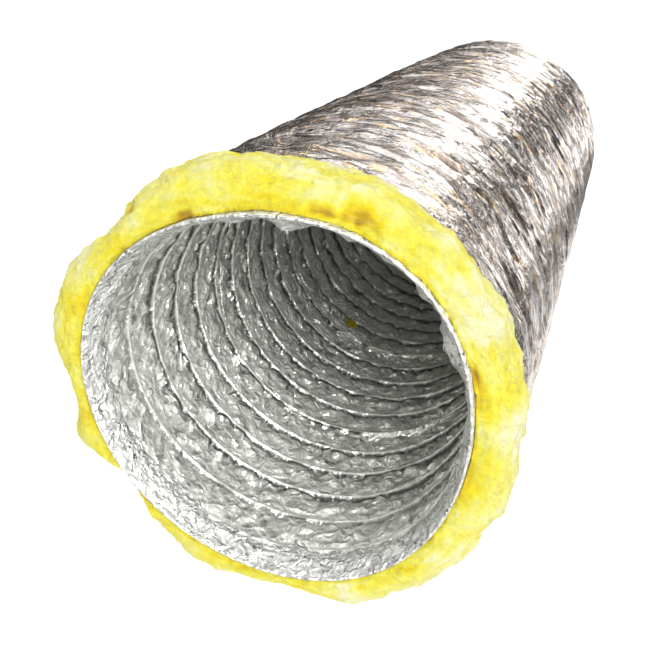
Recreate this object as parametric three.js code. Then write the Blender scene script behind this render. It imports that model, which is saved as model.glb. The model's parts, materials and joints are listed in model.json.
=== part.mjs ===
// An insulated flexible air duct: a wire-stiffened foil core, a glass wool blanket
// round it and a metallised film jacket. It lies on its flattened underside.
// Millimetres, +Z up, the duct's axis along Y, the near end towards -Y.
// The origin is the centre of the bounding box's bottom.
//
// The duct bends and squeezes between six firm bands. Every layer is therefore cut
// into six bands and the five folds between them.

import * as THREE from 'three';

// ---- driving dimensions ----
const LENGTH = 890; // rim to rim
const SIDES = 20; // facets round each layer, with a corner at the top
const GAP = 0.3; // between touching pieces

const BORE_RADIUS = 127; // a 254 mm (10 inch) duct
const PLY_THICKNESS = 0.5;
const WIRE_DIAMETER = 1.4;
const WIRE_PITCH = 34;
const WIRE_SIDES = 5;
const TAPE_THICKNESS = 0.4;
const BLANKET_THICKNESS = 23.2;
const JACKET_THICKNESS = 0.7;

const END_BAND = 62; // firm lengths along the axis
const MIDDLE_BAND = 34;
const BEND_FOLD = 118; // soft lengths that bend
const SQUEEZE_FOLD = LENGTH - 2 * END_BAND - 4 * MIDDLE_BAND - 4 * BEND_FOLD;

const TAPE_INNER_LEG = 54; // folded into the bore
const TAPE_OUTER_LEG = 22; // folded over the core
const BLANKET_SETBACK = 6; // behind the rim, at both ends
const JACKET_SETBACK_NEAR = 33;
const JACKET_SETBACK_FAR = 4;

// ---- radii, from the bore outwards, measured to the facets' corners ----
const TAPE_INSIDE = BORE_RADIUS - GAP - TAPE_THICKNESS;
const INNER_PLY = BORE_RADIUS;
const WIRE_INSIDE = INNER_PLY + PLY_THICKNESS + GAP;
const WIRE_CENTRE = WIRE_INSIDE + WIRE_DIAMETER / 2;
const OUTER_PLY = WIRE_INSIDE + WIRE_DIAMETER + GAP;
const TAPE_OUTSIDE = OUTER_PLY + PLY_THICKNESS + GAP;
const BLANKET = TAPE_OUTSIDE + TAPE_THICKNESS + GAP;
const JACKET = BLANKET + BLANKET_THICKNESS + GAP;
const OUTSIDE = JACKET + JACKET_THICKNESS;

// The lowest corner of each outer layer is left out, which makes the flat underside.
const STEP_ANGLE = (2 * Math.PI) / SIDES;
const AXIS_HEIGHT = OUTSIDE * Math.cos(STEP_ANGLE);

const NEAR_RIM = -LENGTH / 2;
const FAR_RIM = LENGTH / 2;
const PLY_START = NEAR_RIM + TAPE_THICKNESS + GAP;
const PLY_END = FAR_RIM - TAPE_THICKNESS - GAP;

// ---- materials ----
const finish = (color, roughness, metalness) =>
  new THREE.MeshStandardMaterial({ color, roughness, metalness });
const coreFoil = finish(0xb9bab4, 0.35, 0.9);
const tapeFoil = finish(0xe4e5e6, 0.3, 0.9);
const springWire = finish(0x8a8d90, 0.4, 1.0);
const glassWool = finish(0xe9d46a, 1.0, 0.0);
const jacketFilm = finish(0xa49a8f, 0.18, 0.95);

const duct = new THREE.Group();

function add(name, geometry, material, y = 0) {
  const mesh = new THREE.Mesh(geometry, material);
  mesh.name = name;
  mesh.position.y = y;
  duct.add(mesh);
}

// ---- sections round the axis ----
function ringPoints(radius, flattened) {
  const points = [];
  for (let side = 0; side < SIDES; side += 1) {
    const angle = side * STEP_ANGLE;
    const lowest = Math.abs(angle - 1.5 * Math.PI) < STEP_ANGLE / 2;
    if (!(flattened && lowest)) {
      points.push(new THREE.Vector2(radius * Math.cos(angle), radius * Math.sin(angle)));
    }
  }
  return points;
}

// A tube along +Y from start to end, in the duct's frame.
function tube(inside, outside, start, end, flatInside, flatOutside) {
  const section = new THREE.Shape(ringPoints(outside, flatOutside));
  section.holes.push(new THREE.Path(ringPoints(inside, flatInside)));
  const geometry = new THREE.ExtrudeGeometry(section, {
    depth: end - start,
    bevelEnabled: false,
    curveSegments: 1,
  });
  geometry.rotateX(Math.PI / 2); // extruded towards -Y from the far face
  geometry.translate(0, end, AXIS_HEIGHT);
  return geometry;
}

// ---- the wire, one helix cut where the bands meet ----
class Helix extends THREE.Curve {
  constructor(startAngle, endAngle) {
    super();
    this.startAngle = startAngle;
    this.endAngle = endAngle;
  }

  getPoint(t, target = new THREE.Vector3()) {
    const angle = this.startAngle + (this.endAngle - this.startAngle) * t;
    const along = NEAR_RIM + (WIRE_PITCH * angle) / (2 * Math.PI);
    const x = WIRE_CENTRE * Math.cos(angle);
    const z = AXIS_HEIGHT + WIRE_CENTRE * Math.sin(angle);
    return target.set(x, along, z);
  }
}

function wireTurns(start, end) {
  const advance = WIRE_PITCH / SIDES; // along the axis, for one facet
  const first = Math.ceil((start + WIRE_DIAMETER - NEAR_RIM) / advance);
  const last = Math.floor((end - WIRE_DIAMETER - NEAR_RIM) / advance);
  const section = new THREE.Shape();
  for (let side = 0; side < WIRE_SIDES; side += 1) {
    const angle = (side * 2 * Math.PI) / WIRE_SIDES;
    const x = (WIRE_DIAMETER / 2) * Math.cos(angle);
    const y = (WIRE_DIAMETER / 2) * Math.sin(angle);
    if (side === 0) section.moveTo(x, y);
    else section.lineTo(x, y);
  }
  section.closePath();
  return new THREE.ExtrudeGeometry(section, {
    steps: last - first,
    curveSegments: 1,
    extrudePath: new Helix(first * STEP_ANGLE, last * STEP_ANGLE),
  });
}

// ---- foil tape folded over an end of the core ----
// Its section is a channel: a leg in the bore, a web across the rim, a leg outside.
// The profile is drawn for the near end; direction -1 turns it round for the far end.
function rimTape(rim, direction) {
  const at = (radius, depth) => new THREE.Vector2(radius, rim + direction * depth);
  const profile = [
    at(TAPE_INSIDE, TAPE_INNER_LEG),
    at(TAPE_INSIDE, 0),
    at(TAPE_OUTSIDE + TAPE_THICKNESS, 0),
    at(TAPE_OUTSIDE + TAPE_THICKNESS, TAPE_OUTER_LEG),
    at(TAPE_OUTSIDE, TAPE_OUTER_LEG),
    at(TAPE_OUTSIDE, TAPE_THICKNESS),
    at(TAPE_INSIDE + TAPE_THICKNESS, TAPE_THICKNESS),
    at(TAPE_INSIDE + TAPE_THICKNESS, TAPE_INNER_LEG),
    at(TAPE_INSIDE, TAPE_INNER_LEG),
  ];
  if (direction < 0) profile.reverse();
  const geometry = new THREE.LatheGeometry(profile, SIDES);
  geometry.translate(0, 0, AXIS_HEIGHT);
  return geometry;
}

// ---- the layers of one length of duct ----
// The outer layers stop short of the rims, so each layer has its own limits.
function addLayers(ending, start, end) {
  const layer = (name, nearLimit, farLimit, inside, outside, flatInside, flatOutside, material) => {
    const from = Math.max(start + GAP / 2, nearLimit);
    const to = Math.min(end - GAP / 2, farLimit);
    add(name + ending, tube(inside, outside, from, to, flatInside, flatOutside), material);
  };
  layer('core_inner_ply_', PLY_START, PLY_END, INNER_PLY, INNER_PLY + PLY_THICKNESS,
    false, false, coreFoil);
  layer('core_outer_ply_', PLY_START, PLY_END, OUTER_PLY, OUTER_PLY + PLY_THICKNESS,
    false, false, coreFoil);
  layer('blanket_', NEAR_RIM + BLANKET_SETBACK, FAR_RIM - BLANKET_SETBACK,
    BLANKET, BLANKET + BLANKET_THICKNESS, false, true, glassWool);
  layer('jacket_', NEAR_RIM + JACKET_SETBACK_NEAR, FAR_RIM - JACKET_SETBACK_FAR,
    JACKET, OUTSIDE, true, true, jacketFilm);
}

// ---- the whole duct, from the near rim ----
const bands = [END_BAND, MIDDLE_BAND, MIDDLE_BAND, MIDDLE_BAND, MIDDLE_BAND, END_BAND];
const folds = [BEND_FOLD, BEND_FOLD, SQUEEZE_FOLD, BEND_FOLD, BEND_FOLD];
let place = NEAR_RIM;
bands.forEach((band, index) => {
  const number = index + 1;
  const bandEnd = place + band;
  const foldEnd = bandEnd + (folds[index] ?? 0);
  addLayers(`band_${number}`, place, bandEnd);
  if (folds[index]) addLayers(`fold_${number}`, bandEnd, foldEnd);
  add(`wire_${number}`, wireTurns(Math.max(place, PLY_START), Math.min(foldEnd, PLY_END)),
    springWire);
  place = foldEnd;
});
add('rim_tape_near', rimTape(NEAR_RIM, 1), tapeFoil);
add('rim_tape_far', rimTape(FAR_RIM, -1), tapeFoil);

export default duct;
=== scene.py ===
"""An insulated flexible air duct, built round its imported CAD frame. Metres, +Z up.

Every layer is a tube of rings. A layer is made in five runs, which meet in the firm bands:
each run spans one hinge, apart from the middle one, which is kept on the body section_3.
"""

import json
import math

import bpy
import numpy as np
from mathutils import Matrix, Vector

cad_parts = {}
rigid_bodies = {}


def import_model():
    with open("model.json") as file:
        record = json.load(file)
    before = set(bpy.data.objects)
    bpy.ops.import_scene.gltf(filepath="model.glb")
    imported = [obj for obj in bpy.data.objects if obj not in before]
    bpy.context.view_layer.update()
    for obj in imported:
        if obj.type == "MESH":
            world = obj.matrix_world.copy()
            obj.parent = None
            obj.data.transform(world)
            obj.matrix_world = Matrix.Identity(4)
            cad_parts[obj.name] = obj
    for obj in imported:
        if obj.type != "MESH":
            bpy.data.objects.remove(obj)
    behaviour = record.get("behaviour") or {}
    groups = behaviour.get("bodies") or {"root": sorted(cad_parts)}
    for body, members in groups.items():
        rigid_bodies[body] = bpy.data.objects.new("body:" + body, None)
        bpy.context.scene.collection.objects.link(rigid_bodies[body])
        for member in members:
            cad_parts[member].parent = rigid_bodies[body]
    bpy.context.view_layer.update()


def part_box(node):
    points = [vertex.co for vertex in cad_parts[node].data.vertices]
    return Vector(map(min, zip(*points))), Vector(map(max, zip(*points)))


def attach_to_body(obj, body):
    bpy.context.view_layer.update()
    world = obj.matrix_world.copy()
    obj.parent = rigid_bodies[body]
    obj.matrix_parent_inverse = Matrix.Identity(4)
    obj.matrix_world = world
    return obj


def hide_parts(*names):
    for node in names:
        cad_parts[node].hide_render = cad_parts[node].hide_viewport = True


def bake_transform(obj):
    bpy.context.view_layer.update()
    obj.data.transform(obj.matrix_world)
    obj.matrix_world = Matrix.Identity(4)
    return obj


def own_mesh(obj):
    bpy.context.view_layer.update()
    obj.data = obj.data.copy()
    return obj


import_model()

MM = 0.001

# ---- the frame's sizes ----
JACKET_LOW, JACKET_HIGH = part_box("jacket_band_3")
OUTSIDE = (JACKET_HIGH.x - JACKET_LOW.x) / 2
AXIS_HEIGHT = JACKET_HIGH.z - OUTSIDE
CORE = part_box("core_outer_ply_band_3")[1].x
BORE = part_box("core_inner_ply_band_3")[1].x
NEAR_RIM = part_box("rim_tape_near")[0].y
FAR_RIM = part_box("rim_tape_far")[1].y
FOLDS = {n: [corner.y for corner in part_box(f"core_outer_ply_fold_{n}")] for n in range(1, 6)}
JACKET_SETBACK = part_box("jacket_band_1")[0].y - NEAR_RIM
JACKET_SETBACK_FAR = FAR_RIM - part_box("jacket_band_6")[1].y

# ---- the surface's own sizes ----
COLUMNS = 480  # points round most rings
FINE_COLUMNS = 720  # points round the rings of the near wool and the tapes
WIRE_PITCH = 34 * MM
WIRE_RADIUS = 0.7 * MM
WIRE_CENTRE = BORE + 1.1 * MM
WOOL_INSIDE = CORE + 1.4 * MM
WOOL_OUTSIDE = OUTSIDE - 9 * MM  # under the jacket's wrinkles
WOOL_OUTSIDE_FAR = OUTSIDE - 17 * MM  # at the far end, where the jacket closes over it
WIDEST = OUTSIDE + 13 * MM  # how far from the middle the torn wool may reach
FLATTENING = OUTSIDE - AXIS_HEIGHT  # of the underside, by the duct's own weight

# ---- seeds, which keep every surface the same from one making to the next ----
TAPED_SEED = 5
WARP_SEEDS = (11, 12)
FOIL_SEEDS = (21, 22)
JACKET_SEEDS = {"warp": 41, "folds": 42, "pleats": 43, "crumple": 44, "sway": 45}
NEAR_CUT_SEEDS = (51, 52)
FAR_CUT_SEEDS = (53, 54)
NEAR_TAPE_SEED = 61
FAR_TAPE_SEED = 71
LUMPS_SEED = 300
PALE_SEED = 310
WISPS_SEED = 312
POCKETS_SEED = 320
FUZZ_SEED = 401
TUFT_SEED = 411


def round_angles(columns):
    """One row of angles: 0 at +X, a quarter turn at the top."""
    return (np.arange(columns) * 2 * math.pi / columns)[None, :]


ANGLES = round_angles(COLUMNS)


# ---- noise ----
def smooth(value, low=0.0, high=1.0):
    t = np.clip((value - low) / (high - low), 0, 1)
    return t * t * (3 - 2 * t)


def bump(angle, centre, width):
    """1 at the centre and 0 beyond the width, both in degrees."""
    away = (np.degrees(angle) - centre + 180) % 360 - 180
    return smooth(1 - np.abs(away) / width)


def noise(x, y, z, seed, period=256):
    """Gradient noise from about -1 to 1, with features about one unit apart. x has a period."""
    random = np.random.default_rng(seed)
    order = np.tile(random.permutation(256), 2)
    slopes = random.normal(size=(256, 3))
    slopes /= np.linalg.norm(slopes, axis=1)[:, None]
    x, y, z = np.broadcast_arrays(x, y, z)
    base = [np.floor(v).astype(int) for v in (x, y, z)]
    part = [v - b for v, b in zip((x, y, z), base)]
    ease = [p * p * p * (p * (p * 6 - 15) + 10) for p in part]
    total = np.zeros(x.shape)
    for corner in range(8):
        step = [(corner >> k) & 1 for k in range(3)]
        index = order[(base[0] + step[0]) % period]
        index = order[(index + base[1] + step[1]) % 256]
        slope = slopes[order[(index + base[2] + step[2]) % 256]]
        weight = np.ones(x.shape)
        value = np.zeros(x.shape)
        for k in range(3):
            weight = weight * (ease[k] if step[k] else 1 - ease[k])
            value = value + slope[..., k] * (part[k] - step[k])
        total += weight * value
    return total * 1.6


def wrapped_noise(angle, along, size_round, size_along, seed, radius=OUTSIDE):
    """Noise on the tube, whose features are size_round long and size_along wide."""
    across = radius * np.cos(angle) / size_round
    up = radius * np.sin(angle) / size_round
    return noise(across, along / size_along, up, seed)


def facets(around, along, columns, twist, seed):
    """Heights from -1 to 1 over random triangles. around counts columns and closes on itself,
    where it meets the row twist rows higher. Row heights come from a table as long as needed."""
    random = np.random.default_rng(seed)
    first = int(np.floor(along.min())) - 1
    rows = int(np.floor(along.max())) - first + 3 + twist
    heights = random.uniform(-1, 1, (rows, columns))
    slants = random.random((rows, columns)) < 0.5
    i = np.floor(around).astype(int)
    j = np.floor(along).astype(int)
    u, v = around - i, along - j
    j = j - first
    last = i + 1 == columns
    right = np.where(last, 0, i + 1)
    shift = np.where(last, twist, 0)
    low, low_right = heights[j, i], heights[j + shift, right]
    high, high_right = heights[j + 1, i], heights[j + 1 + shift, right]
    falling = np.where(
        u + v < 1,
        low + u * (low_right - low) + v * (high - low),
        high_right + (1 - u) * (high - high_right) + (1 - v) * (low_right - high_right),
    )
    rising = np.where(
        u > v,
        low + u * (low_right - low) + v * (high_right - low_right),
        low + v * (high - low) + u * (high_right - high),
    )
    return np.where(slants[j, i], falling, rising)


# ---- where a point of the duct is ----
def mouth(angle):
    """How far the near rim is from round: its top has sunk and its lower left is pressed in."""
    wave = 2.3 * np.cos(2 * angle) - 2.1 * np.cos(3 * angle) + 1.7 * np.sin(3 * angle)
    return (wave - 0.9 * np.cos(4 * angle)) * MM


def place(angle, along, radius):
    """Points in the duct's frame. The outer layers are flattened underneath, and the core isn't."""
    angle, along, radius = np.broadcast_arrays(angle, along, radius)
    depth = (along - NEAR_RIM) / (130 * MM)
    outwards = np.clip((radius - CORE) / (OUTSIDE - CORE), 0, 1)
    radius = radius + mouth(angle) * np.exp(-depth * depth) * (1 - 0.6 * outwards)
    x = radius * np.cos(angle)
    z = radius * np.sin(angle)
    floor = -(radius - FLATTENING * outwards)
    floor = np.maximum(floor, -AXIS_HEIGHT)
    above = z - floor
    softness = 2 * MM * outwards + 1e-6
    z = floor + (above + np.sqrt(above * above + softness * softness)) / 2
    z = np.where(outwards > 0, z, radius * np.sin(angle))
    return np.stack([x, along, z + AXIS_HEIGHT], axis=-1)


# ---- meshes of rings ----
def ring_mesh(name, rings, closed=True):
    """A tube wall from an array of rings, all with the same number of points round.
    A closed one comes back to its first ring, so it is a solid wall with two faces."""
    count, columns = rings.shape[:2]
    i = np.arange(count if closed else count - 1)[:, None]
    j = np.arange(columns)[None, :]
    following = (i + 1) % count
    beside = (j + 1) % columns
    row, next_row = i * columns, following * columns
    corners = [row + j, row + beside, next_row + beside, next_row + j]
    quads = np.stack(corners, axis=-1).reshape(-1, 4)
    if closed:
        quads = quads[:, ::-1]  # so that the faces point out of the wall
    mesh = bpy.data.meshes.new(name)
    mesh.vertices.add(count * columns)
    mesh.vertices.foreach_set("co", rings.reshape(-1).astype(np.float32))
    mesh.loops.add(quads.size)
    mesh.loops.foreach_set("vertex_index", quads.reshape(-1).astype(np.int32))
    mesh.polygons.add(len(quads))
    mesh.polygons.foreach_set("loop_start", np.arange(0, quads.size, 4, dtype=np.int32))
    mesh.polygons.foreach_set("use_smooth", np.ones(len(quads), dtype=bool))
    mesh.update(calc_edges=True)
    mesh.validate()
    keep_rest(mesh)
    piece = bpy.data.objects.new(name, mesh)
    bpy.context.scene.collection.objects.link(piece)
    return piece


def keep_rest(mesh):
    """Stores each point's place at rest, which the materials' patterns follow."""
    count = len(mesh.vertices)
    places = np.empty(count * 3, np.float32)
    mesh.vertices.foreach_get("co", places)
    attribute = mesh.attributes.new("rest", "FLOAT_VECTOR", "POINT")
    attribute.data.foreach_set("vector", places)


def keep_value(mesh, name, values):
    attribute = mesh.attributes.new(name, "FLOAT", "POINT")
    attribute.data.foreach_set("value", values.reshape(-1).astype(np.float32))


# ---- the five runs, which every layer shares ----
MIDDLE_2 = (FOLDS[1][1] + FOLDS[2][0]) / 2
MIDDLE_5 = (FOLDS[4][1] + FOLDS[5][0]) / 2
RUNS = {
    1: {"from": NEAR_RIM, "to": MIDDLE_2, "hinge": ("near_end", "section_2", 1),
        "nodes": ["band_1", "fold_1"], "wires": ["wire_1"]},
    2: {"from": MIDDLE_2, "to": FOLDS[3][0], "hinge": ("section_2", "section_3", 2),
        "nodes": ["band_2", "fold_2", "band_3"], "wires": ["wire_2"]},
    3: {"from": FOLDS[3][0], "to": FOLDS[3][1], "hinge": None,
        "nodes": ["fold_3"], "wires": ["wire_3"]},
    4: {"from": FOLDS[3][1], "to": MIDDLE_5, "hinge": ("section_4", "section_5", 4),
        "nodes": ["band_4", "fold_4"], "wires": ["wire_4"]},
    5: {"from": MIDDLE_5, "to": FAR_RIM, "hinge": ("section_5", "far_end", 5),
        "nodes": ["band_5", "fold_5", "band_6"], "wires": ["wire_5", "wire_6"]},
}


def attach(piece, run):
    hinge = RUNS[run]["hinge"]
    if hinge:
        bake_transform(piece)
    else:
        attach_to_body(piece, "section_3")
        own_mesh(piece)


def stops(run, spacing):
    start, end = RUNS[run]["from"], RUNS[run]["to"]
    return np.linspace(start, end, round((end - start) / spacing) + 1)


# ---- materials ----
class Material:
    """A Principled material with short calls for the nodes that these materials use."""

    def __init__(self, name, roughness, metallic):
        self.made = bpy.data.materials.new(name)
        self.made.use_nodes = True
        self.tree = self.made.node_tree
        self.shader = self.tree.nodes["Principled BSDF"]
        self.shader.inputs["Roughness"].default_value = roughness
        self.shader.inputs["Metallic"].default_value = metallic
        self.place = self.attribute("rest", "Vector")

    def attribute(self, name, output="Fac"):
        node = self.tree.nodes.new("ShaderNodeAttribute")
        node.attribute_name = name
        return node.outputs[output]

    def noise(self, scale, detail=3.0, roughness=0.5, distortion=0.0, stretch=(1, 1, 1)):
        mapping = self.tree.nodes.new("ShaderNodeMapping")
        mapping.inputs["Scale"].default_value = stretch
        node = self.tree.nodes.new("ShaderNodeTexNoise")
        node.inputs["Scale"].default_value = scale
        node.inputs["Detail"].default_value = detail
        node.inputs["Roughness"].default_value = roughness
        node.inputs["Distortion"].default_value = distortion
        self.tree.links.new(self.place, mapping.inputs["Vector"])
        self.tree.links.new(mapping.outputs[0], node.inputs["Vector"])
        return node.outputs["Fac"]

    def facets(self, scale, wander=0.35):
        """Heights in metres of flat facets, 1 / scale metres across, each leaning its own way."""
        drift = self.tree.nodes.new("ShaderNodeTexNoise")
        drift.inputs["Scale"].default_value = scale * 0.6
        self.tree.links.new(self.place, drift.inputs["Vector"])
        centred = self.vector("SUBTRACT", drift.outputs["Color"], (0.5, 0.5, 0.5))
        moved = self.vector("SCALE", centred, 2 * wander / scale)
        spot = self.vector("ADD", self.place, moved)
        cells = self.tree.nodes.new("ShaderNodeTexVoronoi")
        cells.inputs["Scale"].default_value = scale
        self.tree.links.new(spot, cells.inputs["Vector"])
        lean = self.vector("SUBTRACT", cells.outputs["Color"], (0.5, 0.5, 0.5))
        from_middle = self.vector("SUBTRACT", spot, cells.outputs["Position"])
        return self.vector("DOT_PRODUCT", from_middle, lean)

    def creases(self, *settings, **more):
        """Heights from 0 to 0.5 with sharp ridges, like the creases of crumpled foil."""
        centred = self.sum("SUBTRACT", self.noise(*settings, **more), 0.5)
        steep = self.sum("ABSOLUTE", centred)
        return self.sum("SUBTRACT", 0.5, steep)

    def sum(self, operation, *values):
        node = self.tree.nodes.new("ShaderNodeMath")
        node.operation = operation
        for socket, value in zip(node.inputs, values):
            self.set(socket, value)
        return node.outputs[0]

    def set(self, socket, value):
        """Gives a socket a number, a colour or another node's output."""
        if isinstance(value, (int, float)):
            socket.default_value = value
        elif isinstance(value, tuple):
            socket.default_value = (*value, 1)
        else:
            self.tree.links.new(value, socket)

    def vector(self, operation, first, second):
        node = self.tree.nodes.new("ShaderNodeVectorMath")
        node.operation = operation
        self.tree.links.new(first, node.inputs[0])
        if operation == "SCALE":
            node.inputs["Scale"].default_value = second
        elif isinstance(second, tuple):
            node.inputs[1].default_value = second
        else:
            self.tree.links.new(second, node.inputs[1])
        return node.outputs["Value" if operation == "DOT_PRODUCT" else "Vector"]

    def ramp(self, value, *stops):
        node = self.tree.nodes.new("ShaderNodeValToRGB")
        elements = node.color_ramp.elements
        while len(elements) < len(stops):
            elements.new(0.5)
        for element, (position, colour) in zip(elements, stops):
            element.position = position
            element.color = (*colour, 1)
        self.tree.links.new(value, node.inputs[0])
        return node.outputs[0]

    def mix(self, share, first, second, blend="MIX"):
        node = self.tree.nodes.new("ShaderNodeMix")
        node.data_type = "RGBA"
        node.blend_type = blend
        factor, colour_a, colour_b = node.inputs[0], node.inputs[6], node.inputs[7]
        colour_out = node.outputs[2]
        self.set(factor, share)
        self.set(colour_a, first)
        self.set(colour_b, second)
        return colour_out

    def between(self, value, low, high):
        """A number from low to high as value goes from 0 to 1."""
        node = self.tree.nodes.new("ShaderNodeMapRange")
        node.inputs["To Min"].default_value = low
        node.inputs["To Max"].default_value = high
        self.tree.links.new(value, node.inputs["Value"])
        return node.outputs[0]

    def bumps(self, *heights):
        """Stacks (height, distance in metres, strength) entries, and feeds the result to the shader.
        The strength can be left out."""
        normal = None
        for height, distance, *strength in heights:
            node = self.tree.nodes.new("ShaderNodeBump")
            node.inputs["Distance"].default_value = distance
            self.tree.links.new(height, node.inputs["Height"])
            if strength:
                self.tree.links.new(strength[0], node.inputs["Strength"])
            if normal:
                self.tree.links.new(normal, node.inputs["Normal"])
            normal = node.outputs[0]
        self.feed(normal, "Normal")

    def feed(self, output, name):
        self.tree.links.new(output, self.shader.inputs[name])


def core_foil():
    m = Material("core_foil", 0.3, 0.7)
    patches = m.noise(45, detail=4)
    foil = m.ramp(patches, (0.3, (0.75, 0.76, 0.71)), (0.7, (0.88, 0.88, 0.84)))
    # painted shade: the foil's colour is darkened to near black in the crease in front of each rib
    m.feed(m.mix(m.attribute("line"), foil, (0.05, 0.05, 0.045)), "Base Color")
    m.feed(m.between(m.noise(120, detail=3), 0.22, 0.40), "Roughness")
    large = m.creases(50, detail=1.5, distortion=0.3, stretch=(1, 0.7, 1))
    small = m.creases(125, detail=1.5, distortion=0.3, stretch=(1, 0.7, 1))
    crumpled = m.attribute("crumpled")
    m.bumps((large, 16 * MM, crumpled), (small, 7.5 * MM, crumpled), (m.facets(120, 0.6), 0.4, crumpled))
    return m.made


def tape_foil():
    m = Material("foil_tape", 0.36, 0.6)
    foil = m.ramp(m.noise(90, detail=4), (0.3, (0.50, 0.50, 0.48)), (0.7, (0.80, 0.80, 0.78)))
    # dark specks painted into the tape's colour: painted shade in the foil's tightest crinkles
    crinkle_shade_pattern = m.noise(210, detail=4, roughness=0.7, distortion=1.5)
    painted_crinkle_shade = m.ramp(crinkle_shade_pattern, (0.595, (0, 0, 0)), (0.625, (1, 1, 1)))
    m.feed(m.mix(painted_crinkle_shade, foil, (0.09, 0.09, 0.09)), "Base Color")
    m.feed(m.between(m.noise(150), 0.28, 0.5), "Roughness")
    m.bumps((m.creases(100, detail=2, distortion=0.5), 9 * MM), (m.facets(300), 0.4))
    return m.made


def spring_wire():
    m = Material("spring_wire", 0.35, 1.0)
    m.feed(m.ramp(m.noise(400), (0.3, (0.42, 0.43, 0.44)), (0.7, (0.55, 0.56, 0.58))), "Base Color")
    m.bumps((m.noise(1500, detail=1), 0.05 * MM))
    return m.made


def glass_wool():
    m = Material("glass_wool", 1.0, 0.0)
    # depth mixes the wool's own uneven tone with painted shade; lower values give deeper yellow and ochre
    tone = m.ramp(m.attribute("depth"), (0.0, (0.62, 0.39, 0.003)), (0.2, (0.87, 0.64, 0.004)),
                  (0.4, (0.96, 0.81, 0.012)), (0.6, (0.97, 0.89, 0.09)), (0.8, (0.97, 0.93, 0.27)),
                  (1.0, (0.98, 0.96, 0.62)))
    mottled = m.ramp(m.noise(130, detail=6, roughness=0.7, distortion=1.0),
                     (0.34, (0.97, 0.94, 0.60)), (0.60, (1, 1, 1)))
    m.feed(m.mix(1.0, tone, mottled, "MULTIPLY"), "Base Color")
    m.shader.inputs["Subsurface Weight"].default_value = 0.2
    m.shader.inputs["Subsurface Radius"].default_value = (1.0, 0.9, 0.4)
    m.shader.inputs["Subsurface Scale"].default_value = 2.5 * MM
    m.shader.inputs["Sheen Weight"].default_value = 0.25
    m.shader.inputs["Specular IOR Level"].default_value = 0.1
    fibres = m.noise(480, detail=6, roughness=0.75, distortion=2.5)
    clumps = m.noise(150, detail=5, roughness=0.65, distortion=1.5)
    m.bumps((clumps, 2.6 * MM), (fibres, 1.2 * MM))
    return m.made


def jacket_film():
    m = Material("jacket_film", 0.16, 1.0)
    stretch = (0.35, 1.0, 0.35)
    tone = m.noise(60, detail=4, stretch=stretch)
    film = m.ramp(tone, (0.35, (0.31, 0.255, 0.22)), (0.65, (0.58, 0.55, 0.53)))
    gold = m.ramp(m.noise(95, detail=5, roughness=0.7, distortion=1.0, stretch=stretch),
                  (0.56, (0, 0, 0)), (0.66, (1, 1, 1)))
    m.feed(m.mix(gold, film, (0.72, 0.52, 0.30)), "Base Color")
    m.feed(m.between(m.noise(80, detail=3, stretch=stretch), 0.1, 0.26), "Roughness")
    folds = m.noise(110, detail=5, roughness=0.55, distortion=1.0, stretch=stretch)
    fine = m.noise(330, detail=4, roughness=0.6, distortion=0.6, stretch=(0.5, 1, 0.5))
    m.bumps((folds, 4.2 * MM), (fine, 1.0 * MM))
    return m.made


CORE_FOIL = core_foil()
TAPE_FOIL = tape_foil()
SPRING_WIRE = spring_wire()
GLASS_WOOL = glass_wool()
JACKET_FILM = jacket_film()


def finish_piece(piece, material, run, nodes=()):
    piece.data.materials.append(material)
    if nodes:
        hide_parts(*nodes)
    attach(piece, run)


# ---- the core ----
def turns(angle, along):
    """How many turns of wire lie before a point. It is a whole number on a rib."""
    return (along - NEAR_RIM) / WIRE_PITCH - angle / (2 * math.pi)


def gather(angle, along):
    """Moves the rings towards the ribs, so that the ribs are sharp. Cuts and rims stay put."""
    phase = turns(angle, along)
    moved = -0.45 * WIRE_PITCH / (2 * math.pi) * np.sin(2 * math.pi * phase)
    for cut in (NEAR_RIM, FAR_RIM, *FOLDS[3]):
        moved = moved * smooth(np.abs(along - cut), 0, 24 * MM)
    return along + moved


def pinch(depth):
    """How far the inner ply and the tape's leg are pressed outwards, onto the outer ply, at a rim."""
    return 2.6 * MM * (1 - smooth(depth, 2 * MM, 15 * MM))


def rim_depth(along):
    """How far a point is from the nearer rim."""
    return np.minimum(along - NEAR_RIM, FAR_RIM - along)


def foil_facets(angle, along, phase):
    """Heights from -1 to 1 of the broad facets, which follow the wire's helix, and the small ones."""
    columns, lanes = 66, 3
    warp_round, warp_along = [wrapped_noise(angle, along, 22 * MM, 22 * MM, seed) for seed in WARP_SEEDS]
    warp_round = 0.45 * warp_round
    warp_along = 0.30 * warp_along
    position = angle / (2 * math.pi) * columns + warp_round
    wrap = np.floor(position) // columns
    broad = facets(position % columns, lanes * (phase + wrap) + warp_along, columns, lanes, FOIL_SEEDS[0])
    small_columns = 130
    position = angle / (2 * math.pi) * small_columns + 2.1 * warp_round
    rows = along / (6 * MM) + 2 * warp_along
    small = facets(position % small_columns, rows, small_columns, 0, FOIL_SEEDS[1])
    return broad, small


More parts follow.
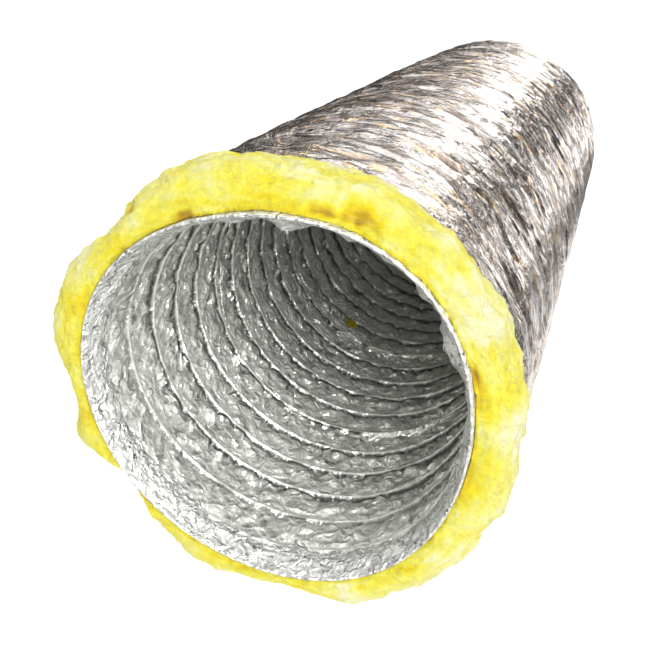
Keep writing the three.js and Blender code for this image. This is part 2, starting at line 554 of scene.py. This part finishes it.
def inner_ply_radius(angle, along):
    """Behind each rib the foil sinks slowly outwards, pleated, and steps back up to the next rib."""
    phase = turns(angle, along)
    part = phase - np.floor(phase)
    near_rib = np.abs(phase - np.round(phase)) * WIRE_PITCH
    depth = rim_depth(along)
    edge = depth + 14 * MM * wrapped_noise(angle, along, 90 * MM, 400 * MM, TAPED_SEED)
    taped = 1 - smooth(edge, 40 * MM, 85 * MM)
    sag = part ** 1.5 * (1 - smooth(part, 0.90, 0.99)) + 0.25 * smooth(part, 0.0, 0.06) * (1 - part)
    pleated = 0.14 + smooth(part, 0.12, 0.5) * (1 - smooth(part, 0.91, 0.975))
    broad, small = foil_facets(angle, along, phase)
    pleats = 2.5 * broad + 1.7 * small
    flat = 1.1 * broad + 1.4 * small
    taut = 0.35 + 0.65 * smooth(near_rib, 0, 4 * MM)
    crinkle = (1 - taped) * pleated * pleats + taped * taut * flat
    ribs = (3.0 - 1.5 * taped) * sag - (0.7 - 0.3 * taped) * np.exp(-((near_rib / (1.4 * MM)) ** 2))
    free = smooth(depth, 14 * MM, 34 * MM)
    outwards = -0.4 - 2.8 * free + (0.2 + 0.8 * free) * (ribs + crinkle)
    return BORE + np.minimum(outwards, 2.0) * MM + pinch(depth)


def rib_painted_shade(angle, along):
    """1 where shade is painted into the foil's colour: a dark line in the crease in front of a rib, where
    the foil is in its own shade, and a milder painted shade over the sag before it.
    """
    phase = turns(angle, along)
    part = phase - np.floor(phase)
    depth = rim_depth(along)
    line = smooth(part, 0.85, 0.92) * (1 - smooth(part, 0.945, 0.98))
    line = line * (0.5 + 0.45 * smooth(depth, 45 * MM, 80 * MM))
    shade = 0.3 * smooth(part, 0.45, 0.9) * (1 - smooth(part, 0.955, 0.985))
    return np.maximum(line, shade) * smooth(depth, 26 * MM, 36 * MM)


def crumpled_foil(angle, along):
    """How crumpled the foil is: less on the ribs, where the wire holds it taut."""
    phase = turns(angle, along)
    part = phase - np.floor(phase)
    return 0.4 + 0.6 * smooth(part, 0.04, 0.12) * (1 - smooth(part, 0.91, 0.97))


def inner_ply(run, spacing):
    angle = ANGLES
    along = gather(angle, stops(run, spacing)[:, None])
    radius = inner_ply_radius(angle, along)
    face = place(angle, along, radius)
    back_stops = np.linspace(1, 0, 9)[:, None]
    back_along = along[:1] + (along[-1:] - along[:1]) * back_stops
    back_radius = np.full_like(back_along, CORE - 0.1 * MM)
    back_radius[0] = radius[-1] + 0.3 * MM
    back_radius[-1] = radius[0] + 0.3 * MM
    back = place(angle, back_along, back_radius)
    piece = ring_mesh(f"core_inner_{run}", np.concatenate([face, back])[::-1])
    # painted shade for the creases in front of the ribs, none on the back
    line = np.concatenate([rib_painted_shade(angle, along), 0 * back_radius])
    keep_value(piece.data, "line", line[::-1])
    crumpled = np.concatenate([crumpled_foil(angle, along), 0 * back_radius + 1])
    keep_value(piece.data, "crumpled", crumpled[::-1])
    nodes = [f"core_inner_ply_{n}" for n in RUNS[run]["nodes"]]
    finish_piece(piece, CORE_FOIL, run, nodes)


def outer_ply(run):
    along = stops(run, 8 * MM)[:, None]
    angle = ANGLES[:, ::4]
    outside = place(angle, along, CORE + 0.6 * MM + 0 * angle)
    inside = place(angle, along[::-1], CORE + 0.2 * MM + 0 * angle)
    piece = ring_mesh(f"core_outer_{run}", np.concatenate([outside, inside]))
    # no painted shade on the outer ply
    keep_value(piece.data, "line", np.zeros(len(piece.data.vertices)))
    keep_value(piece.data, "crumpled", np.full(len(piece.data.vertices), 0.5))
    nodes = [f"core_outer_ply_{n}" for n in RUNS[run]["nodes"]]
    finish_piece(piece, CORE_FOIL, run, nodes)


def wire(run):
    """The stretch of the helix within a run, as a round wire."""
    clearance = 1.2 * MM
    start = RUNS[run]["from"] + (18 * MM if run == 1 else clearance)
    end = RUNS[run]["to"] - clearance
    steps = round((end - start) / WIRE_PITCH * 60)
    along = np.linspace(start, end, steps + 1)
    angle = (along - NEAR_RIM) / WIRE_PITCH * 2 * math.pi
    sides = 6
    around = round_angles(sides)
    radius = WIRE_CENTRE + WIRE_RADIUS * np.cos(around)
    lengthwise = along[:, None] + WIRE_RADIUS * np.sin(around)
    rings = place(angle[:, None], lengthwise, radius)
    piece = ring_mesh(f"wire_run_{run}", rings, closed=False)
    cap_ends(piece, sides)
    finish_piece(piece, SPRING_WIRE, run, RUNS[run]["wires"])


def cap_ends(piece, sides):
    """Closes a rod's two ends."""
    count = len(piece.data.vertices)
    mesh = piece.data
    old = [tuple(p.vertices) for p in mesh.polygons]
    places = [tuple(v.co) for v in mesh.vertices]
    ends = [tuple(range(sides))[::-1], tuple(range(count - sides, count))]
    made = bpy.data.meshes.new(mesh.name)
    made.from_pydata(places, [], old + ends)
    made.polygons.foreach_set("use_smooth", np.ones(len(made.polygons), dtype=bool))
    keep_rest(made)
    piece.data = made


# ---- the foil tape over each rim ----
# where the near tape hangs into the bore: angle, width and by how many millimetres
LOOSE = ((26, 12, 9), (42, 5, 4), (55, 6, 4), (66, 5, 3), (84, 9, 6), (100, 8, 2), (352, 14, 2),
         (150, 20, 1.5), (300, 16, 1.5))
TAPE_END = 229.5  # the angle where the near tape overlaps its own start
TAPE_OUTSIDE = CORE + 0.9 * MM
TAPE_INSIDE = BORE - 1.3 * MM


def tape_leg(angle, seed):
    """How deep the torn leg reaches into the bore."""
    torn = wrapped_noise(angle, 0.0, 26 * MM, 1, seed)
    torn = torn + 0.6 * wrapped_noise(angle, 0.0, 9 * MM, 1, seed + 1)
    return (24 + 6 * torn) * MM


def tape_state(angle, near, seed):
    """How far the leg hangs loose, and where it is calm or lies on its own start, from 0 to 1."""
    ragged = 1 + 0.5 * wrapped_noise(angle, 0.0, 8 * MM, 1, seed)
    flap = 0.5 * ragged
    calm = np.zeros_like(angle)
    overlap = np.zeros_like(angle)
    if near:
        for centre, width, reach in LOOSE:
            flap = flap + reach * ragged * bump(angle, centre, width)
        past = np.degrees(angle) - TAPE_END
        calm = smooth(past, 0, 1) * (1 - smooth(past, 35, 60)) + bump(angle, 143, 14)
        overlap = (1 - smooth(past, -0.6, 0.2)) * smooth(past, -30, -18)
    return np.maximum(flap, 0.2) * MM, calm, overlap


def rim_tape(name, rim, inwards, seed, node, run):
    """A folded strip: a leg outside the core, a thin fold at the rim and a torn leg inside."""
    angle = round_angles(FINE_COLUMNS)
    leg = tape_leg(angle, seed)
    flap, calm, overlap = tape_state(angle, inwards > 0, seed + 2)
    rim_inside = TAPE_INSIDE + pinch(0)
    middle = (rim_inside + TAPE_OUTSIDE) / 2
    fold = (TAPE_OUTSIDE - rim_inside) / 2
    level = 0 * angle
    rows = []
    for depth in np.linspace(18 * MM, fold, 8):
        rows.append((depth + level, TAPE_OUTSIDE + level))
    for turn in np.linspace(0, math.pi, 9)[1:-1]:
        rows.append((fold * (1 - math.sin(turn)) + level, middle + fold * math.cos(turn) + level))
    for share in np.linspace(0, 1, 40):
        depth = fold + share * (leg - fold)
        lifted = flap * smooth(share, 0.0, 0.7) * (1 - 0.3 * smooth(share, 0.7, 1.0))
        crinkle = 0.75 * MM * smooth(share, 0.0, 0.12) * (1 - 0.8 * calm * (1 - smooth(share, 0.4, 0.7)))
        broad = facets(angle / (2 * math.pi) * 96, depth / (7 * MM), 96, 0, seed + 3)
        fine = facets(angle / (2 * math.pi) * 210, depth / (3.5 * MM), 210, 0, seed + 5)
        wrinkled = crinkle * (1.6 + 1.0 * broad + 0.6 * fine)
        wrinkled = wrinkled + 0.9 * MM * overlap * smooth(share, 0, 0.1)
        rows.append((depth, TAPE_INSIDE + pinch(depth) - lifted - wrinkled))
    depth = np.concatenate([r[0] for r in rows])
    radius = np.concatenate([r[1] for r in rows])
    dents = wrapped_noise(angle, depth, 13 * MM, 13 * MM, seed + 4)
    radius = radius + 0.25 * MM * dents * smooth(depth, 0, 6 * MM)
    # the back of the strip lies a little way inside the channel
    channel = np.clip(middle - radius, -0.25 * MM, 0.25 * MM)
    back_depth = np.maximum(depth, 0.3 * MM)
    face = place(angle, rim + inwards * depth, radius)
    back = place(angle, rim + inwards * back_depth, radius + channel)[::-1]
    rings = np.concatenate([face, back])
    piece = ring_mesh(name, rings if inwards < 0 else rings[::-1])
    finish_piece(piece, TAPE_FOIL, run, [node])


# ---- the glass wool ----
def wool_outline(angle):
    """The wool's outer radius at the near end: thin at the lower left, where it was torn off."""
    torn = 17 * bump(angle, 216, 14) + 6 * bump(angle, 226, 24) + 5 * bump(angle, 136, 14)
    torn = torn + 7 * bump(angle, 188, 12)
    full = 7 * bump(angle, 165, 24) + 4 * bump(angle, 108, 26) + 3 * bump(angle, 318, 40)
    full = full + 2 * bump(angle, 10, 50) + 6 * bump(angle, 200, 8) + 4 * bump(angle, 291, 8)
    return OUTSIDE + (full - torn - 1.5) * MM


def lumps(angle, along, radius, seed):
    """Uneven tufts, in metres outwards. The finer ones are streaks round the duct, as felted."""
    x = radius * np.cos(angle)
    z = radius * np.sin(angle)
    total = 0
    for size, height in ((42, 3.0), (19, 2.4), (9, 1.5), (5, 0.9)):
        scale = size * MM
        total = total + height * noise(x / scale, along / scale, z / scale, seed + int(size * 10))
    around = angle / (2 * math.pi)
    for count, size, height in ((90, 3.2, 1.1), (200, 2.0, 0.6)):
        scale = size * MM
        streak = noise(around * count, radius / scale, along / scale, seed + count, period=count)
        total = total + height * (0.5 - np.abs(streak)) * 1.6
    return total * MM


FACE_ROWS = 22  # rings over the wool's end face
BARED_ROWS = 29  # rings over the outside near it, down to under the jacket


def wool_middle_rows(run, angle):
    """The rings of a run with no open end: along the outside, and back along the core."""
    start, end = RUNS[run]["from"], RUNS[run]["to"]
    rows = []
    for along in np.linspace(start, end, 14):
        rows.append((along + 0 * angle, WOOL_OUTSIDE + 0 * angle))
    for along in np.linspace(end, start, 7):
        rows.append((along + 0 * angle, WOOL_INSIDE + 0 * angle))
    return rows


def wool_end_rows(run, away, angle):
    """The rings of a run with an open end. away is 1 where the wool runs towards +Y from it."""
    start, end = RUNS[run]["from"], RUNS[run]["to"]
    if run == 1:
        edge, cut = start + 3.5 * MM, end
        outline, setback = wool_outline(angle), JACKET_SETBACK
    else:
        edge, cut = end - 6 * MM, start
        outline, setback = WOOL_OUTSIDE_FAR + 0 * angle, JACKET_SETBACK_FAR
    span = abs(cut - edge)
    covered = np.minimum(outline, WOOL_OUTSIDE)
    rows = []
    # the end face, from the core outwards
    for share in np.linspace(0, 1, FACE_ROWS):
        radius = WOOL_INSIDE + share * (outline - WOOL_INSIDE)
        rounded = 8 * share ** 3 + 1.5 * (1 - share) ** 4 - 1.5 * math.sin(math.pi * share)
        rows.append((edge + away * MM * rounded + 0 * angle, radius))
    # the bared outside, then the wool under the jacket
    for share in np.linspace(0, 1, BARED_ROWS + 1)[1:]:
        depth = (8 + (setback / MM + 6 - 8) * share) * MM
        puff = 1.5 * MM * math.sin(math.pi * min(1, share * 1.1))
        tuck = smooth(share, 0.72, 1.0)
        rows.append((edge + away * depth + 0 * angle, (outline + puff) * (1 - tuck) + covered * tuck))
    reach = setback + 6 * MM
    for share in np.linspace(0, 1, 16)[1:]:
        depth = reach + share * (span - reach)
        filled = smooth(share, 0, 0.35)
        rows.append((edge + away * depth + 0 * angle, covered * (1 - filled) + WOOL_OUTSIDE * filled))
    # back along the core
    for share in np.linspace(1, 0, 7)[:-1]:
        depth = 2 * MM + share * (span - 2 * MM)
        rows.append((edge + away * depth + 0 * angle, WOOL_INSIDE + 0 * angle))
    return rows


def tear(run, away, angle, along, radius):
    """Makes an open end's rings lumpy and gouged, and says how pale each point is, from 0 to 1: the
    wool's own uneven tone, with shade painted in where it is hollow or gouged, on its left and next to
    the core.
    """
    tuft = lumps(angle, along, radius, LUMPS_SEED + run)
    share = np.zeros_like(radius)
    share[:FACE_ROWS + BARED_ROWS] = 1
    share[FACE_ROWS + BARED_ROWS - 9:FACE_ROWS + BARED_ROWS] = np.linspace(1, 0, 9)[:, None]
    outward = np.zeros_like(radius)
    outward[:FACE_ROWS] = smooth(np.linspace(0, 1, FACE_ROWS))[:, None]
    outward[FACE_ROWS:FACE_ROWS + BARED_ROWS] = 1
    pits = pockets(angle, radius, along) if run == 1 else 0 * radius
    hollow = share * (tuft * (1 if run == 1 else 0.5) - 5 * MM * pits)
    radius = radius + hollow * outward
    along = along - away * hollow * (1 - outward) * 0.9
    outer = np.clip((radius - WOOL_INSIDE) / (OUTSIDE - WOOL_INSIDE), 0, 1)
    pale = 0.50 + 0.24 * outer + 0.34 * wrapped_noise(angle, along, 24 * MM, 18 * MM, PALE_SEED)
    wisps = noise(angle / (2 * math.pi) * 40, radius / (3 * MM), along / (5 * MM), WISPS_SEED, period=40)
    # the wisps are the wool's own paler streaks; the left and lower left are made less pale, a painted
    # shade on that side of the wool
    pale = pale + 0.22 * wisps - 0.17 * bump(angle, 180, 60) - 0.12 * bump(angle, 240, 40)
    # painted light and shade by relief: tufts that stand out are paler, the hollows between them and the
    # gouges darker, towards ochre
    pale = np.clip(pale + tuft / (16 * MM) - 0.85 * pits, 0, 1)
    # painted shade: the wool is made darker within 3 mm of the core, where the two meet
    near_core = np.clip((radius - WOOL_INSIDE) / (3 * MM), 0, 1)
    return np.minimum(along, FAR_RIM - 1 * MM), radius, pale * (0.6 + 0.4 * near_core)


def wool(run):
    """A tube of wool. Its open end is a soft round face, torn and pitted."""
    angle = round_angles(FINE_COLUMNS if run == 1 else COLUMNS)
    away = {1: 1, 5: -1}.get(run)
    rows = wool_end_rows(run, away, angle) if away else wool_middle_rows(run, angle)
    along = np.concatenate([r[0] for r in rows])
    radius = np.concatenate([r[1] for r in rows])
    depth = np.ones_like(radius)
    if away:
        along, radius, depth = tear(run, away, angle, along, radius)
    radius = np.clip(radius, WOOL_INSIDE, WIDEST)
    rings = place(angle, along, radius)
    piece = ring_mesh(f"wool_{run}", rings if run != 5 else rings[::-1])
    # depth holds how pale the wool is, its painted shade included
    keep_value(piece.data, "depth", depth if run != 5 else depth[::-1])
    nodes = [f"blanket_{n}" for n in RUNS[run]["nodes"]]
    finish_piece(piece, GLASS_WOOL, run, nodes)


# the near wool's gouges: angle, then radius, depth from the rim and size in millimetres, and how many
# times longer than its size each is round the duct
GOUGES = ((66, 144, 4, 10, 1.7), (74, 137, 3, 6, 4.0), (114, 133, 3, 5, 2.0), (128, 151, 12, 6, 1.5),
          (18, 134, 4, 4, 3.0))


def pockets(angle, radius, along):
    """1 in the middle of a gouge in the near end's wool, and 0 away from them all."""
    total = 0
    ragged = 1 + 0.5 * wrapped_noise(angle, along, 9 * MM, 9 * MM, POCKETS_SEED)
    for turn, out, depth, size, longer in GOUGES:
        away_round = (np.degrees(angle) - turn + 180) % 360 - 180
        arc = np.radians(away_round) * radius / longer
        away = np.sqrt(arc ** 2 + (radius - out * MM) ** 2 + (along - NEAR_RIM - depth * MM) ** 2)
        total = total + smooth(1 - away / (size * MM * ragged))
    return np.clip(total, 0, 1)


STRAND_RINGS = 5
STRAND_SIDES = 3


def strands(name, roots, leans, lengths, thickness, seed, tone):
    """Thin curled fibres, each a tapered rod."""
    random = np.random.default_rng(seed)
    count = len(roots)
    steps = np.linspace(0, 1, STRAND_RINGS)
    curl = random.normal(size=(count, 3)) * 0.55
    bend = np.cross(leans, curl)
    course = leans[:, None, :] * steps[None, :, None] + bend[:, None, :] * (steps ** 2)[None, :, None]
    path = roots[:, None, :] + lengths[:, None, None] * course
    side = np.cross(leans, random.normal(size=(count, 3)))
    side /= np.linalg.norm(side, axis=1)[:, None]
    other = np.cross(leans, side)
    width = thickness * (1 - 0.75 * steps)
    rings = []
    for turn in range(STRAND_SIDES):
        turned = 2 * math.pi * turn / STRAND_SIDES
        offset = side * math.cos(turned) + other * math.sin(turned)
        rings.append(path + offset[:, None, :] * width[None, :, None])
    points = np.stack(rings, axis=2).reshape(-1, 3)
    points = np.clip(points, (-WIDEST, -1, 0.2 * MM), (WIDEST, 1, 2 * WIDEST))
    each = STRAND_RINGS * STRAND_SIDES
    first = np.arange(count) * each
    ring = first[:, None, None, None] + (np.arange(STRAND_RINGS - 1) * STRAND_SIDES)[None, :, None, None]
    turn = np.arange(STRAND_SIDES)[None, None, :, None]
    beside = (turn + 1) % STRAND_SIDES
    corners = [ring + turn, ring + beside, ring + STRAND_SIDES + beside, ring + STRAND_SIDES + turn]
    quads = np.concatenate(corners, axis=-1).reshape(-1, 4)
    roots_caps = [tuple(i + k for k in reversed(range(STRAND_SIDES))) for i in first]
    tip_caps = [tuple(i + each - STRAND_SIDES + k for k in range(STRAND_SIDES)) for i in first]
    mesh = bpy.data.meshes.new(name)
    mesh.from_pydata(points.tolist(), [], quads.tolist() + roots_caps + tip_caps)
    mesh.polygons.foreach_set("use_smooth", np.ones(len(mesh.polygons), dtype=bool))
    keep_rest(mesh)
    keep_value(mesh, "depth", np.full(len(points), tone))
    piece = bpy.data.objects.new(name, mesh)
    bpy.context.scene.collection.objects.link(piece)
    return piece


def wool_fuzz(count):
    """Loose fibres standing out of the near end's torn wool."""
    random = np.random.default_rng(FUZZ_SEED)
    angle = random.uniform(0, 2 * math.pi, count)
    share = random.uniform(0.05, 1, count) ** 0.6
    outline = wool_outline(angle)
    radius = WOOL_INSIDE + share * (outline - WOOL_INSIDE)
    depth = np.where(random.random(count) < 0.6, 5 * MM + 6 * MM * share ** 3,
                     random.uniform(12 * MM, JACKET_SETBACK, count))
    on_side = depth > 12 * MM
    radius = np.where(on_side, outline - 1 * MM, radius)
    roots = place(angle, NEAR_RIM + depth, radius)
    outwards = np.stack([np.cos(angle), np.zeros(count), np.sin(angle)], axis=-1)
    tangent = np.stack([-np.sin(angle), np.zeros(count), np.cos(angle)], axis=-1)
    forwards = np.array([0.0, -1.0, 0.0])[None, :]
    leans = np.where(on_side[:, None], outwards, forwards + 0.4 * outwards * share[:, None])
    leans = 0.45 * leans + tangent * random.normal(size=count)[:, None] * 0.8
    leans = leans + random.normal(size=(count, 3)) * 0.35
    leans /= np.linalg.norm(leans, axis=1)[:, None]
    keep = roots[:, 2] > 8 * MM
    lengths = random.uniform(4, 11, count) * MM
    piece = strands("wool_fuzz", roots[keep], leans[keep], lengths[keep], 0.13 * MM, FUZZ_SEED + 1, 1.0)
    finish_piece(piece, GLASS_WOOL, 1)


def wool_tuft():
    """A scrap of wool stuck to the bore's wall, well inside."""
    random = np.random.default_rng(TUFT_SEED)
    count = 260
    angle = math.radians(239) + random.normal(size=count) * 0.022
    along = NEAR_RIM + 387 * MM + random.normal(size=count) * 3.0 * MM
    roots = place(angle, along, BORE - 0.6 * MM)
    inwards = -np.stack([np.cos(angle), np.zeros(count), np.sin(angle)], axis=-1)
    leans = inwards * 0.5 + random.normal(size=(count, 3)) * 0.6
    leans /= np.linalg.norm(leans, axis=1)[:, None]
    lengths = random.uniform(2.5, 6, count) * MM
    piece = strands("wool_tuft", roots, leans, lengths, 0.45 * MM, TUFT_SEED + 1, 0.4)
    finish_piece(piece, GLASS_WOOL, 3)


# ---- the jacket ----
def jacket_radius(angle, along):
    """The film lies in folds and pleats, which run round the duct and all press inwards."""
    seeds = JACKET_SEEDS
    skewed = along + 0.05 * OUTSIDE * np.sin(angle + along / (90 * MM))
    warp = 7 * MM * wrapped_noise(angle, skewed, 70 * MM, 45 * MM, seeds["warp"])
    folds = np.abs(wrapped_noise(angle, skewed + warp, 95 * MM, 17 * MM, seeds["folds"]))
    pleats = np.abs(wrapped_noise(angle, skewed + 0.6 * warp, 42 * MM, 7.5 * MM, seeds["pleats"]))
    columns = 90
    around = angle / (2 * math.pi) * columns
    crumple = facets(around, (skewed + 0.8 * warp) / (6 * MM), columns, 0, seeds["crumple"])
    sway = wrapped_noise(angle, along, 190 * MM, 150 * MM, seeds["sway"])
    inwards = 5.2 * folds + 3.0 * pleats + 0.7 * crumple + 1.6 * (sway + 0.6)
    shoulder = 9 * smooth(along, FAR_RIM - 55 * MM, FAR_RIM - 5 * MM) ** 2
    grip = 1.5 * smooth(NEAR_RIM + JACKET_SETBACK + 16 * MM - along, 0, 16 * MM)
    return OUTSIDE + 1.2 * MM - (inwards + shoulder + grip) * MM


def ragged_cut(angle, seeds, waves, nicks):
    """How far a cut edge wanders: each of waves and nicks is a height and a length round the duct."""
    total = 0
    for seed, (height, length) in zip(seeds, (waves, nicks)):
        total = total + height * wrapped_noise(angle, 0.0, length * MM, 1, seed)
    return total * MM


def jacket(run, spacing):
    angle = ANGLES
    start, end = RUNS[run]["from"], RUNS[run]["to"]
    near = start + 0 * angle
    far = end + 0 * angle
    if run == 1:
        near = start + JACKET_SETBACK + ragged_cut(angle, NEAR_CUT_SEEDS, (4, 60), (1.8, 14))
    if run == 5:
        wander = ragged_cut(angle, FAR_CUT_SEEDS, (3, 50), (1.5, 12))
        far = np.minimum(end - JACKET_SETBACK_FAR + wander, end - 1 * MM)
    count = round((end - start) / spacing)
    shares = np.linspace(0, 1, count + 1)[:, None]
    along = near + (far - near) * shares
    face = place(angle, along, jacket_radius(angle, along))
    back_shares = np.array([1, 0.97, 0.94, 0.75, 0.5, 0.25, 0.06, 0.03, 0])[:, None]
    back_along = near + (far - near) * back_shares
    back_radius = jacket_radius(angle, back_along) - 0.25 * MM
    hidden = (back_shares > 0.03) & (back_shares < 0.97)
    back_radius = np.where(hidden, np.minimum(back_radius, OUTSIDE - 4 * MM) - 2 * MM, back_radius)
    back = place(angle, back_along, back_radius)
    piece = ring_mesh(f"jacket_{run}", np.concatenate([face, back]))
    nodes = [f"jacket_{n}" for n in RUNS[run]["nodes"]]
    finish_piece(piece, JACKET_FILM, run, nodes)


# ---- light, floor and camera ----
def softbox(name, at, towards, width, height, radiance, only=()):
    """A rectangular light. It can be kept to the pieces whose names start in one of these ways."""
    light = bpy.data.lights.new(name, "AREA")
    light.shape = "RECTANGLE"
    light.size = width
    light.size_y = height
    light.energy = radiance * math.pi * width * height
    made = bpy.data.objects.new(name, light)
    made.location = at
    made.rotation_euler = (Vector(towards) - Vector(at)).to_track_quat("-Z", "Y").to_euler()
    made.visible_camera = False
    bpy.context.scene.collection.objects.link(made)
    if only:
        keep_to(made, only)


def keep_to(source, only):
    """Lets a light, or the glow of the floor, fall only on the pieces with these names' starts."""
    lit = bpy.data.collections.new(source.name + "_pieces")
    for piece in bpy.context.scene.objects:
        if piece.name.startswith(only):
            lit.objects.link(piece)
    source.light_linking.receiver_collection = lit


MOUTH = (0, NEAR_RIM, AXIS_HEIGHT)
BEFORE_MOUTH = (1.04, NEAR_RIM - 1.63, AXIS_HEIGHT + 1.04)


def studio():
    """A white backdrop that only the camera sees, a dim room, and large soft lights."""
    world = bpy.data.worlds.new("studio")
    world.use_nodes = True
    tree = world.node_tree
    backdrop = tree.nodes["Background"]
    backdrop.inputs["Color"].default_value = (1, 1, 1, 1)
    backdrop.inputs["Strength"].default_value = 1.0
    room = tree.nodes.new("ShaderNodeBackground")
    room.inputs["Color"].default_value = (1.0, 0.96, 0.92, 1)
    room.inputs["Strength"].default_value = 0.12
    seen = tree.nodes.new("ShaderNodeLightPath")
    choice = tree.nodes.new("ShaderNodeMixShader")
    tree.links.new(seen.outputs["Is Camera Ray"], choice.inputs[0])
    tree.links.new(room.outputs[0], choice.inputs[1])
    tree.links.new(backdrop.outputs[0], choice.inputs[2])
    tree.links.new(choice.outputs[0], tree.nodes["World Output"].inputs["Surface"])
    bpy.context.scene.world = world
    bpy.context.scene.view_settings.view_transform = "Standard"

    softbox("back_light", (0.62, 2.4, 1.6), (0.05, 0, 0.2), 0.6, 0.9, 14.0, only=("jacket",))
    softbox("side_light", (1.0, 1.35, 0.32), (0.15, 0, 0.15), 0.6, 0.5, 5.5, only=("jacket",))
    softbox("low_light", (0.36, 0.0, 0.006), (0.34, 0, 1.0), 0.9, 0.3, 1.6, only=("jacket",))
    softbox("top_light", (0.2, 0.2, 2.8), (0.0, 0, 0.0), 3.2, 3.2, 2.4)
    softbox("front_light", BEFORE_MOUTH, MOUTH, 1.43, 1.43, 7.5)
    softbox("mouth_light", BEFORE_MOUTH, MOUTH, 1.43, 1.43, 17.0, only=("core", "tape"))
    softbox("left_light", (-2.4, -1.2, 1.2), (0, 0, 0.1), 1.0, 1.6, 2.5, only=("wool", "jacket"))


def stand():
    """A pale floor, whose glow lights only the wool."""
    mesh = bpy.data.meshes.new("floor")
    half = 14.0
    mesh.from_pydata([(-half, -half, 0), (half, -half, 0), (half, half, 0), (-half, half, 0)], [],
                     [(0, 1, 2, 3)])
    floor = bpy.data.objects.new("floor", mesh)
    pale = bpy.data.materials.new("pale_floor")
    pale.use_nodes = True
    shader = pale.node_tree.nodes["Principled BSDF"]
    shader.inputs["Base Color"].default_value = (0.3, 0.3, 0.3, 1)
    shader.inputs["Roughness"].default_value = 0.9
    shader.inputs["Emission Color"].default_value = (1, 1, 1, 1)
    shader.inputs["Emission Strength"].default_value = 1.0
    mesh.materials.append(pale)
    bpy.context.scene.collection.objects.link(floor)
    keep_to(floor, ("wool",))


def camera():
    """Looks down into the near end from its right, with a lens that fills the frame."""
    data = bpy.data.cameras.new("camera")
    data.lens = 47.27
    data.sensor_width = 36
    made = bpy.data.objects.new("camera", data)
    forward = Vector((-0.30117, 0.86832, -0.39411)).normalized()
    right = forward.cross(Vector((0, 0, 1))).normalized()
    up = right.cross(forward)
    at = Vector((0.1903, NEAR_RIM - 0.4348, AXIS_HEIGHT + 0.2601))
    turned = Matrix((right, up, -forward)).transposed().to_4x4()
    made.matrix_world = Matrix.Translation(at) @ turned
    bpy.context.scene.collection.objects.link(made)
    bpy.context.scene.camera = made


for number in RUNS:
    deep_in_the_bore = number > 2
    inner_ply(number, 2.1 * MM if deep_in_the_bore else 1.3 * MM)
    outer_ply(number)
    wire(number)
    wool(number)
    jacket(number, 1.9 * MM)
wool_fuzz(2200)
wool_tuft()
rim_tape("tape_near", NEAR_RIM, 1, NEAR_TAPE_SEED, "rim_tape_near", 1)
rim_tape("tape_far", FAR_RIM, -1, FAR_TAPE_SEED, "rim_tape_far", 5)
stand()
studio()
camera()
